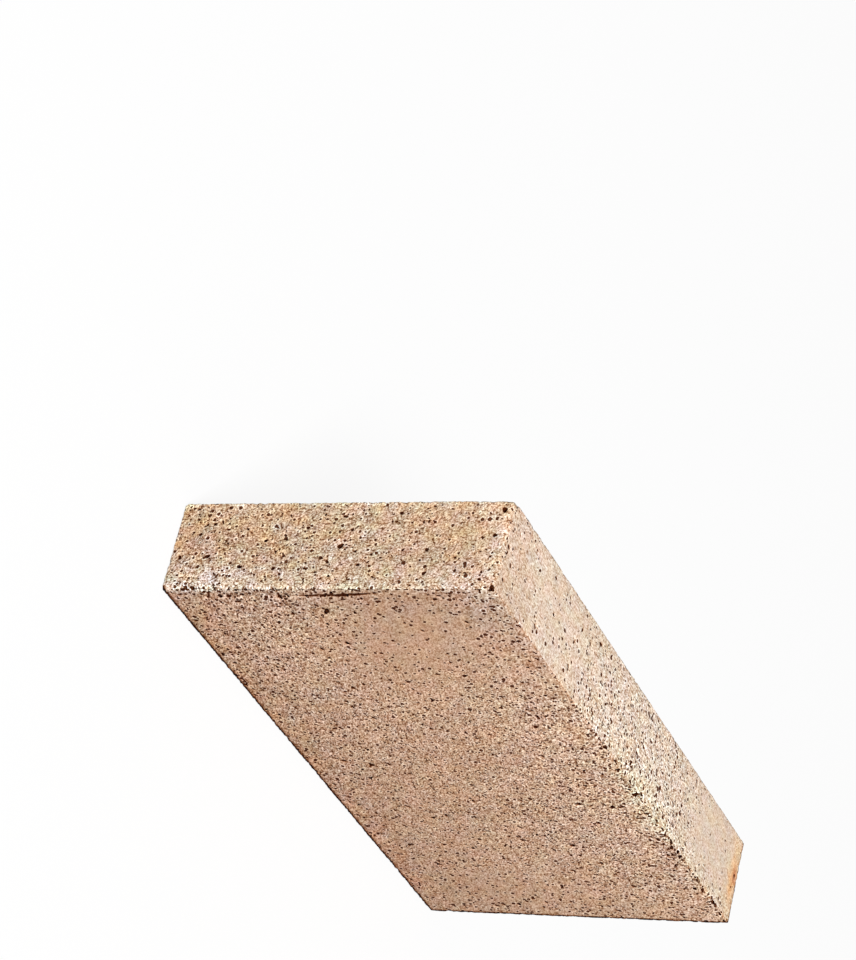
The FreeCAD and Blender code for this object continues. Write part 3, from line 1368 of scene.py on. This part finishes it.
class Tree:
    """A material's nodes, made through one method."""

    def __init__(self, name: str, world: bpy.types.World | None = None) -> None:
        """Makes a material with an empty tree of nodes, or empties the tree of a world.

        Args:
            name: The material's name.
            world: The world to use instead.
        """
        self.material = world or bpy.data.materials.new(name)
        self.material.use_nodes = True
        self.nodes = self.material.node_tree.nodes
        self.links = self.material.node_tree.links
        self.nodes.clear()

    def node(self, kind: str, settings: dict[str, object], values: dict[object, object],
             output: object = 0) -> Signal:
        """Makes a node.

        Args:
            kind: The node's type.
            settings: Its own settings, which are set first.
            values: Its sockets by name or number, each with a number or a signal.
            output: The name or number of the socket that it is read from.

        Returns:
            The signal of that output.
        """
        made = self.nodes.new(kind)
        for name, value in settings.items():
            setattr(made, name, value)
        for name, value in values.items():
            socket = made.inputs[name]
            if isinstance(value, Signal):
                self.links.new(value.socket, socket)
            else:
                socket.default_value = value
        return Signal(self, made.outputs[output])

    def mix(self, share: object, first: object, second: object, blend: str = "MIX") -> Signal:
        """A blend of two colours by a share from 0 to 1.

        Args:
            share: How much of the second colour shows.
            first: A colour or a signal.
            second: A colour or a signal.
            blend: The Mix node's blend type.

        Returns:
            The blended colour.
        """
        settings = {"data_type": "RGBA", "blend_type": blend, "clamp_factor": True}
        values = {0: share, MIX_FIRST: self.opaque(first), MIX_SECOND: self.opaque(second)}
        return self.node("ShaderNodeMix", settings, values, MIX_RESULT)

    @staticmethod
    def opaque(colour: object) -> object:
        """A colour with full alpha, or a signal as it is."""
        return colour if isinstance(colour, Signal) else (*colour, 1.0)

    def grey(self, value: Signal) -> Signal:
        """A value as a grey colour."""
        return self.node("ShaderNodeCombineColor", {}, {0: value, 1: value, 2: value})

    def vector(self, operation: str, first: object, second: object) -> Signal:
        """A Vector Math node on two vectors."""
        settings = {"operation": operation}
        return self.node("ShaderNodeVectorMath", settings, {0: first, 1: second})

    def attribute(self, name: str) -> Signal:
        """A named value of the mesh."""
        settings = {"attribute_type": "GEOMETRY", "attribute_name": name}
        return self.node("ShaderNodeAttribute", settings, {}, "Fac")

    def lumps(self, place: Signal, grain: float, detail: float = 1.0, rough: float = 0.5) -> Signal:
        """Smooth noise from 0 to 1 with lumps of one grain, in millimetres."""
        values = {"Vector": place, "Scale": 1.0 / grain, "Detail": detail, "Roughness": rough}
        return self.node("ShaderNodeTexNoise", {"noise_dimensions": "3D"}, values, "Fac")

    def cells(self, place: Signal, grain: float, output: str, scatter: float = 0.8) -> Signal:
        """Cells of one grain, read as their distance or their own colour, in rows if scatter is 0.

        Args:
            place: Where the surface is, in millimetres.
            grain: The size of a cell.
            output: Distance or Color.
            scatter: How far the cells stray from rows.

        Returns:
            The signal of that output.
        """
        settings = {"voronoi_dimensions": "3D", "feature": "F1"}
        values = {"Vector": place, "Scale": 1.0 / grain, "Randomness": scatter}
        return self.node("ShaderNodeTexVoronoi", settings, values, output)

    def seen(self) -> Signal:
        """1 for rays from the eye, also by a mirror or through glass, and 0 for all others.

        Returns:
            The share.
        """
        rays = ("Is Camera Ray", "Is Glossy Ray", "Is Transmission Ray")
        eye, gloss, through = (self.node("ShaderNodeLightPath", {}, {}, ray) for ray in rays)
        return eye.most(gloss).most(through)

    def parts(self, colour: Signal) -> tuple[Signal, Signal, Signal]:
        """The three channels of a colour.

        Args:
            colour: The colour.

        Returns:
            Its red, green and blue.
        """
        first = self.node("ShaderNodeSeparateColor", {}, {0: colour}, 0)
        node = first.socket.node
        return first, Signal(self, node.outputs[1]), Signal(self, node.outputs[2])

    def finish(self, shader: Signal) -> bpy.types.Material:
        """Joins a shader to the material's output and hands the material back.

        Args:
            shader: The shader.

        Returns:
            The material or the world.
        """
        is_world = isinstance(self.material, bpy.types.World)
        made = self.nodes.new("ShaderNodeOutputWorld" if is_world else "ShaderNodeOutputMaterial")
        self.links.new(shader.socket, made.inputs["Surface"])
        return self.material


@dataclass(frozen=True)
class StainAndShade:
    """A tint on one place of the brick. Most are stains that fire and iron left; some are painted
    shade and painted light on the near bed.
    """

    place: Place
    stretch: Place
    reach: float
    colour: Colour
    strength: float


@dataclass(frozen=True)
class Specks:
    """One size of dark specks and pores, as shares of a cell, and how many there are. The pores' dark
    is painted shade.
    """

    grain: float
    least: float
    most: float
    share: float
    more_where_coarse: float
    strength: float


@dataclass(frozen=True)
class Grain:
    """The clay's grains: their sizes and how far each lightens or darkens the clay."""

    shake_scale: float = 1.6
    shake_detail: float = 2.0
    shake: float = 0.55
    large: float = 0.88
    small: float = 0.55
    sand: float = 0.56
    sand_fade: Span = (0.38, 0.62)
    gap_fade: Span = (0.58, 0.85)
    contrast: float = 0.46
    contrast_where_coarse: float = 0.95
    contrast_on_beds: float = 0.06
    level: float = 1.06
    level_where_coarse: float = 0.06
    sand_light: float = 0.6
    small_light: float = 0.46
    large_light: float = 0.18
    gap_shade: float = 0.5
    broken_middle: float = 0.6
    broken_light: float = 0.1
    edge_light: float = 0.05
    edge_grains: float = 0.3
    turned_shade: float = 0.28
    ring_light: float = 0.37
    least_light: float = 0.1


@dataclass(frozen=True)
class Relief:
    """How high the finest grains stand and how deep the specks lie, in millimetres."""

    sand: float = 0.04
    sand_where_coarse: float = 0.05
    gap: float = 0.04
    gap_where_coarse: float = 0.12
    speck: float = 0.2


@dataclass(frozen=True)
class Hue:
    """How far the clay's colour sways between pink, yellow and grey-green."""

    scale: float = 0.22
    detail: float = 0.8
    rough: float = 0.6
    reach: float = 1.6
    reach_on_headers: float = 1.5
    foot_fade: Span = (16.0, 3.0)
    sway: Place = (0.105, -0.03, 0.17)
    warm_blue: float = -0.09


@dataclass(frozen=True)
class FiredClay:
    """Fired fireclay: pale narrow faces, tan beds, mottled ends, iron specks and pits, with painted
    shade in its colours.
    """

    low: np.ndarray
    high: np.ndarray
    name: str = "fired_fireclay"
    grain: Grain = Grain()
    relief: Relief = Relief()
    hue: Hue = Hue()
    # Partly painted shade: the bed and header colours are darker than the narrow one, partly from
    # their own tan and partly from the shade that those faces stood in.
    narrow: Colour = (0.752, 0.586, 0.458)
    bed: Colour = (0.570, 0.354, 0.236)
    header: Colour = (0.610, 0.418, 0.266)
    cloud: Colour = (0.640, 0.420, 0.290)
    wear: Colour = (0.88, 0.79, 0.60)
    lie: float = 2.0
    speck_lie: float = 1.3
    deepening: Place = (1.0, 1.5, 2.0)
    paling: Place = (1.0, 1.3, 1.5)
    torn_clay: Colour = (0.80, 0.66, 0.42)
    torn_share: float = 0.3
    torn_off_beds: float = 0.24
    edge_off_beds: float = 0.7
    specks_off_headers: float = 0.64
    cloud_grain: float = 24.0
    cloud_detail: float = 3.0
    cloud_rough: float = 0.55
    cloud_fade: Span = (0.42, 0.66)
    cloud_share: float = 0.05
    cloud_share_on_wide: float = 0.12
    overlay_grain: float = 4.0
    overlay_rough: float = 0.6
    overlay_fray: float = 1.1
    worn_least: float = 0.45
    worn_grains: float = 0.6
    worn_broken: float = 0.15
    hollow_fade: Span = (0.34, 0.58)
    speck_edge: Span = (-0.02, 0.03)
    ring_edge: Span = (-0.03, 0.04)
    chosen_edge: float = 0.001
    roughness: float = 0.9
    specular: float = 0.05
    # Partly painted shade: the speck colour stands for iron specks and for the shade in small pores.
    speck_core: Colour = (0.11, 0.040, 0.018)
    painted_hollow_shade: float = 0.92
    painted_edge_shade_depth: float = 0.98
    rim: float = 0.17
    speck_sizes: tuple[Specks, ...] = (
        Specks(2.2, 0.23, 0.36, 0.03, 0.62, 1.0),
        Specks(1.55, 0.26, 0.42, 0.02, 0.50, 1.0),
        Specks(1.0, 0.28, 0.44, 0.0, 0.32, 0.95),
    )

    def stains_and_shade(self) -> tuple[StainAndShade, ...]:
        """The stains of this brick and the painted shade and light on its near bed, placed from its
        corners.

        Returns:
            The stains and the painted shade and light, laid on in this order.
        """
        west, east = float(self.low[0]), float(self.high[0])
        near, far = float(self.low[1]), float(self.high[1])
        top = float(self.high[2])
        return (
            StainAndShade((west, near, 60.0), (1.0, 1.0, 0.1), 36.0, (0.46, 0.288, 0.200), 0.65),
            # Painted shade: this tint and the next darken the near bed towards its foot.
            StainAndShade((60.0, near, -10.0), (0.09, 1.0, 1.0), 60.0, (0.43, 0.255, 0.170), 0.8),
            StainAndShade((-30.0, near, 0.0), (0.09, 1.0, 1.0), 13.0, (0.50, 0.285, 0.165), 0.5),
            StainAndShade((60.0, near, 3.0), (0.12, 1.0, 1.0), 9.0, (0.59, 0.325, 0.22), 0.45),
            # Painted light: this tint lightens the near bed towards its top.
            StainAndShade((60.0, near - 1.0, top + 4.0), (0.12, 8.0, 1.0), 44.0, (0.66, 0.43, 0.305), 0.5),
            StainAndShade((25.0, near, top), (0.2, 1.0, 1.0), 9.0, (0.84, 0.74, 0.50), 0.5),
            StainAndShade((west + 14.0, near, top - 8.0), (0.7, 1.0, 1.0), 12.0, (0.48, 0.36, 0.31), 0.5),
            StainAndShade((west + 6.0, near, top - 4.0), (1.0, 1.0, 1.0), 9.0, (0.41, 0.255, 0.175), 0.5),
            StainAndShade((west, near, 57.0), (4.0, 1.0, 0.05), 13.0, (0.75, 0.60, 0.46), 0.5),
            StainAndShade((west, far, 57.0), (1.0, 1.0, 0.05), 22.0, (0.54, 0.34, 0.21), 0.65),
            StainAndShade((west, far, 10.0), (1.0, 0.8, 0.3), 15.0, (0.64, 0.41, 0.25), 0.5),
            StainAndShade((west, far, 92.0), (1.0, 0.8, 0.4), 11.0, (0.64, 0.41, 0.27), 0.4),
            StainAndShade((west, near, 10.0), (3.0, 0.8, 0.5), 15.0, (0.72, 0.63, 0.55), 0.5),
            StainAndShade((west, near + 11.5, 56.5), (1.0, 1.0, 1.0), 2.3, (0.92, 0.86, 0.80), 0.65),
            StainAndShade((west, near + 5.7, 100.0), (1.0, 1.0, 1.0), 1.7, (0.92, 0.87, 0.80), 0.5),
            StainAndShade((west, 4.0, 66.0), (1.0, 0.6, 0.3), 14.0, (0.60, 0.45, 0.34), 0.4),
            StainAndShade((west + 2.0, 0.0, top), (0.7, 0.3, 1.0), 18.0, (0.72, 0.53, 0.40), 0.6),
            StainAndShade((west + 3.0, 2.0, top), (0.3, 0.5, 1.0), 8.0, (0.74, 0.54, 0.40), 0.4),
            StainAndShade((east - 4.8, 3.0, top), (1.0, 0.33, 1.0), 10.5, (0.83, 0.60, 0.38), 0.85),
            StainAndShade((east - 4.5, -0.5, top), (1.0, 0.45, 1.0), 6.5, (0.82, 0.42, 0.18), 0.8),
            StainAndShade((east - 3.4, 1.4, top), (1.2, 0.6, 1.0), 3.2, (0.50, 0.14, 0.05), 0.9),
        )

    def stained_and_shaded(self, tree: Tree, place: Signal, colour: Signal) -> Signal:
        """Lays the stains and the painted shade and light over a colour, each with a cloudy edge.

        Args:
            tree: The material's nodes.
            place: Where the surface is, in millimetres.
            colour: The colour below.

        Returns:
            The stained colour.
        """
        cloud = tree.lumps(place, self.overlay_grain, self.cloud_detail, self.overlay_rough)
        for overlay in self.stains_and_shade():
            gap = tree.vector("SUBTRACT", place, overlay.place)
            gap = tree.vector("MULTIPLY", gap, overlay.stretch)
            reach = tree.node("ShaderNodeVectorMath", {"operation": "LENGTH"}, {0: gap}, "Value")
            fray = (cloud - 0.5) * overlay.reach * self.overlay_fray
            share = (reach + fray).fade(overlay.reach, 0.0)
            colour = tree.mix(share * overlay.strength, colour, overlay.colour)
        return colour

    def specked(self, tree: Tree, place: Signal, size: Specks,
                coarse: Signal) -> tuple[Signal, Signal]:
        """Round specks in some of the cells of one size, each in a paler ring.

        Args:
            tree: The material's nodes.
            place: Where the surface is, in millimetres.
            size: The specks.
            coarse: How coarse the surface is.

        Returns:
            The speck's strength inside one, and 1 inside one or its ring.
        """
        own = tree.parts(tree.cells(place, size.grain, "Color", 1.0))
        gap = tree.cells(place, size.grain, "Distance", 1.0)
        radius = size.least + (size.most - size.least) * own[0] ** 2.0
        share = size.share + coarse * size.more_where_coarse
        shown = (share - own[1]).fade(0.0, self.chosen_edge)
        inside = (radius - gap).fade(*self.speck_edge) * shown * size.strength
        ring = (radius + self.rim - gap).fade(*self.ring_edge) * shown
        return inside, ring

    def hued(self, tree: Tree, at: Signal, place: Signal, along: Signal) -> Signal:
        """A colour factor that sways between pink, yellow and grey-green.

        Args:
            tree: The material's nodes.
            at: Where the surface is, in millimetres.
            place: The same, drawn out the way that the clay lies.
            along: 1 on the two headers.

        Returns:
            The factor.
        """
        hue = self.hue
        values = {"Vector": place, "Scale": hue.scale, "Detail": hue.detail, "Roughness": hue.rough}
        hues = tree.parts(tree.node("ShaderNodeTexNoise", {}, values, "Color"))
        up = tree.node("ShaderNodeSeparateXYZ", {}, {0: at}, "Z")
        reach = along * hue.reach_on_headers + hue.reach + up.fade(*hue.foot_fade)
        red, green, blue = hue.sway
        warm = (hues[0] - 0.5) * reach
        pale = (hues[1] - 0.5) * reach
        cool = 1.0 + pale * blue + warm * hue.warm_blue
        parts = {0: 1.0 + warm * red, 1: 1.0 + warm * green, 2: cool}
        return tree.node("ShaderNodeCombineColor", {}, parts)

    def toned(self, tree: Tree, light: Signal) -> Signal:
        """A level of light as a colour factor, browner the darker it is.

        Args:
            tree: The material's nodes.
            light: The level, 1 for the plain colour.

        Returns:
            The factor.
        """
        low, high = light.least(1.0), light.most(1.0)
        parts = {}
        for channel, (down, up) in enumerate(zip(self.deepening, self.paling)):
            parts[channel] = low**down * high**up
        return tree.node("ShaderNodeCombineColor", {}, parts)

    def drawn(self, tree: Tree, at: Signal, stretch: float) -> Signal:
        """Places squeezed along the way that the clay lies, so that a pattern in them is drawn out.

        Args:
            tree: The material's nodes.
            at: Where the surface is, in millimetres.
            stretch: How many times longer than wide a round thing comes out.

        Returns:
            The places.
        """
        settings = {"operation": "DOT_PRODUCT"}
        depth = tree.node("ShaderNodeVectorMath", settings, {0: at, 1: LIE}, "Value")
        values = {0: LIE, "Scale": depth * (1 - 1 / stretch)}
        shift = tree.node("ShaderNodeVectorMath", {"operation": "SCALE"}, values)
        return tree.vector("SUBTRACT", at, shift)

    def ground(self, tree: Tree, at: Signal, along: Signal, through: Signal) -> Signal:
        """The clay's colour on each face, with painted shade in the darker bed and header colours.

        Args:
            tree: The material's nodes.
            at: Where the surface is, in millimetres.
            along: 1 on the two headers.
            through: 1 on the two beds.

        Returns:
            The colour with its clouds, its stains, its painted shade and light, and the clay that is
            bared at torn arrises.
        """
        # Partly painted shade: the beds and headers get darker colours than the narrow faces.
        base = tree.mix(through, self.narrow, self.bed)
        base = tree.mix(along, base, self.header)
        clouds = tree.lumps(at, self.cloud_grain, self.cloud_detail, self.cloud_rough)
        cloudy = along.most(through) * self.cloud_share_on_wide + self.cloud_share
        base = tree.mix(clouds.fade(*self.cloud_fade) * cloudy, base, self.cloud)
        base = self.stained_and_shaded(tree, at, base)
        torn = tree.attribute("torn") * (self.torn_share - through * self.torn_off_beds)
        return tree.mix(torn, base, self.torn_clay)

    def all_specks(self, tree: Tree, place: Signal, coarse: Signal) -> tuple[Signal, Signal]:
        """The specks of every size: how strong they are, and 1 inside one or its ring.

        Args:
            tree: The material's nodes.
            place: Where the surface is, in millimetres.
            coarse: How coarse the surface is.

        Returns:
            The specks' strength, and their rings.
        """
        dark, ring = self.specked(tree, place, self.speck_sizes[0], coarse)
        for size in self.speck_sizes[1:]:
            more, wider = self.specked(tree, place, size, coarse)
            dark = dark.most(more)
            ring = ring.most(wider)
        return dark, ring

    def material(self) -> bpy.types.Material:
        """Builds the finish.

        Returns:
            The material.
        """
        tree = Tree(self.name)
        grain = self.grain
        object_place = tree.node("ShaderNodeTexCoord", {}, {}, "Object")
        at = tree.vector("MULTIPLY", object_place, (1 / MM,) * 3)
        place = self.drawn(tree, at, self.lie)
        values = {"Vector": place, "Scale": grain.shake_scale, "Detail": grain.shake_detail}
        shake = tree.node("ShaderNodeTexNoise", {}, values, "Color")
        shake = tree.vector("SUBTRACT", shake, (0.5,) * 3)
        shake = tree.vector("MULTIPLY", shake, (grain.shake,) * 3)
        bent = tree.vector("ADD", place, shake)
        spotted = tree.vector("ADD", self.drawn(tree, at, self.speck_lie), shake)
        coarse = tree.attribute("coarse")
        broken = tree.attribute("broken")
        along = tree.attribute("along")
        through = tree.attribute("through")
        edge = tree.attribute("edge") * (1.0 - through * self.edge_off_beds)

        grains = tree.parts(tree.cells(bent, grain.large, "Color"))
        gap = tree.cells(bent, grain.large, "Distance")
        small = tree.parts(tree.cells(bent, grain.small, "Color"))
        sand = tree.lumps(place, grain.sand).fade(*grain.sand_fade) - 0.5
        rough = coarse.least(1.0) * grain.contrast_where_coarse + grain.contrast
        rough = rough + through * grain.contrast_on_beds
        light = grain.level + coarse * grain.level_where_coarse
        light = light + sand * rough * grain.sand_light
        light = light + (small[1] - 0.5) * rough * grain.small_light
        light = light + (grains[0] - 0.5) * rough * grain.large_light
        light = light - gap.fade(*grain.gap_fade) * rough * grain.gap_shade
        light = light + broken * (grains[1] - grain.broken_middle) * grain.broken_light
        light = light + edge * (grain.edge_light + grains[1] * grain.edge_grains)
        # Painted shade: darkens the arris between the top and the near faces where it turns towards
        # the lamp.
        light = light * (1.0 - tree.attribute("turned") * grain.turned_shade)

        speckled = coarse * (1.0 - along * self.specks_off_headers)
        dark, ring = self.all_specks(tree, spotted, speckled)
        light = (light + ring * rough * grain.ring_light).most(grain.least_light)
        hollow = tree.attribute("hollow").fade(*self.hollow_fade)
        # Painted shade: darkens the pits, the torn hollows and the ledge's groove.
        light = light * (1.0 - hollow * self.painted_hollow_shade)
        # Painted shade: a dark line along arrises at the brick's outline.
        light = light * (1.0 - tree.attribute("painted_edge_shade") * self.painted_edge_shade_depth)

        worn = edge * (self.worn_least + grains[1] * self.worn_grains)
        worn = worn.most(broken * self.worn_broken)
        colour = tree.mix(worn, self.ground(tree, at, along, through), self.wear)
        colour = tree.mix(1.0, colour, self.hued(tree, at, place, along), "MULTIPLY")
        colour = tree.mix(1.0, colour, self.toned(tree, light), "MULTIPLY")
        # Partly painted shade: the specks stand for iron specks and for small pores darkened as
        # shade.
        colour = tree.mix(dark, colour, self.speck_core, "MULTIPLY")

        relief = self.relief
        height = sand * (relief.sand + coarse * relief.sand_where_coarse)
        height = height - gap * (relief.gap + coarse * relief.gap_where_coarse)
        bump = {"Strength": 1.0, "Distance": MM, "Height": height - dark * relief.speck}
        surface = {
            "Base Color": colour,
            "Roughness": self.roughness,
            "Normal": tree.node("ShaderNodeBump", {}, bump, "Normal"),
            "Specular IOR Level": self.specular,
        }
        return tree.finish(tree.node("ShaderNodeBsdfPrincipled", {}, surface))


@dataclass(frozen=True)
class Eye:
    """Where the photograph was taken from, in the brick's own frame."""

    place: Place = (-972.9, -519.1, 563.2)
    right: Place = (0.36834, 0.21753, 0.90388)
    down: Place = (0.52922, -0.84841, -0.01147)
    focal_px: float = 3669.6
    long_side_px: float = 960.0
    sensor_mm: float = 36.0
    nearest_m: float = 0.05
    farthest_m: float = 50.0

    def build(self) -> None:
        """Makes the camera and looks through it."""
        lens = bpy.data.cameras.new("eye")
        lens.sensor_width = self.sensor_mm
        lens.lens = self.focal_px / self.long_side_px * self.sensor_mm
        lens.clip_start = self.nearest_m
        lens.clip_end = self.farthest_m
        right = Vector(self.right).normalized()
        down = Vector(self.down)
        up = -(down - right * down.dot(right)).normalized()
        back = right.cross(up)
        turn = Matrix((right, up, back)).transposed().to_4x4()
        camera = bpy.data.objects.new("eye", lens)
        camera.matrix_world = Matrix.Translation(Vector(self.place) * MM) @ turn
        bpy.context.scene.collection.objects.link(camera)
        bpy.context.scene.camera = camera
        log.info("eye: lens %.1f mm", lens.lens)


@dataclass(frozen=True)
class Lamp:
    """A square soft lamp that faces the brick."""

    name: str
    place: Place
    side: float
    power: float
    colour: Colour = (1.0, 1.0, 1.0)

    def build(self, aim: Vector) -> None:
        """Hangs the lamp and turns it to a point in metres.

        Args:
            aim: The point.
        """
        light = bpy.data.lights.new(self.name, "AREA")
        light.shape = "SQUARE"
        light.size = self.side * MM
        light.energy = self.power
        light.color = self.colour
        lamp = bpy.data.objects.new(self.name, light)
        lamp.location = Vector(self.place) * MM
        lamp.rotation_euler = (aim - lamp.location).to_track_quat("-Z", "Y").to_euler()
        bpy.context.scene.collection.objects.link(lamp)


@dataclass(frozen=True)
class Studio:
    """A pale floor, soft lamps and an even grey-white surround."""

    floor_side: float = 9000.0
    floor_colour: Colour = (0.9, 0.9, 0.9)
    floor_bounce: Colour = (0.45, 0.45, 0.45)
    paper_share: float = 0.88
    surround: float = 0.37
    lamps: tuple[Lamp, ...] = (Lamp("key", (-2430.0, -1860.0, 2630.0), 1200.0, 178.0),)

    def build_floor(self) -> None:
        """Lays the floor, white to the eye but with the brick's shadow on it."""
        half = self.floor_side * MM / 2
        mesh = bpy.data.meshes.new("floor")
        corners = [(-half, -half, 0), (half, -half, 0), (half, half, 0), (-half, half, 0)]
        mesh.from_pydata(corners, [], [(0, 1, 2, 3)])
        floor = bpy.data.objects.new("floor", mesh)
        bpy.context.scene.collection.objects.link(floor)
        tree = Tree("pale_floor")
        path = tree.seen()
        colour = tree.mix(path, self.floor_bounce, self.floor_colour)
        matt = tree.node("ShaderNodeBsdfDiffuse", {}, {"Color": colour})
        paper = tree.node(
            "ShaderNodeEmission", {}, {"Color": (1.0, 1.0, 1.0, 1.0), "Strength": 1.0}
        )
        both = tree.node("ShaderNodeMixShader", {}, {0: path * self.paper_share, 1: matt, 2: paper})
        mesh.materials.append(tree.finish(both))
        floor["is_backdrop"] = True

    def build_surround(self) -> None:
        """Gives the world an even light, white to the eye."""
        world = bpy.data.worlds.new("surround")
        tree = Tree("surround", world)
        level = tree.seen() * (1.0 - self.surround) + self.surround
        sky = tree.node("ShaderNodeBackground", {}, {"Strength": level})
        tree.finish(sky)
        bpy.context.scene.world = world

    def build(self) -> None:
        """Builds the floor, the surround and the lamps."""
        self.build_floor()
        self.build_surround()
        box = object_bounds()
        aim = (Vector(box[0]) + Vector(box[1])) / 2
        for lamp in self.lamps:
            lamp.build(aim)
        bpy.context.scene.view_settings.view_transform = "Standard"
        log.info("studio: %d lamps", len(self.lamps))


def main() -> None:
    """Builds the brick, its finish, the studio and the camera."""
    logging.basicConfig(level=logging.INFO, format="%(name)s: %(message)s")
    low, high = (np.array(corner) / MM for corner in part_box(NODE))
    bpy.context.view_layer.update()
    brick = Firebrick(low, high)
    brick.dress(brick.build(), FiredClay(low, high))
    Studio().build()
    Eye().build()


if __name__ == "__main__":
    main()
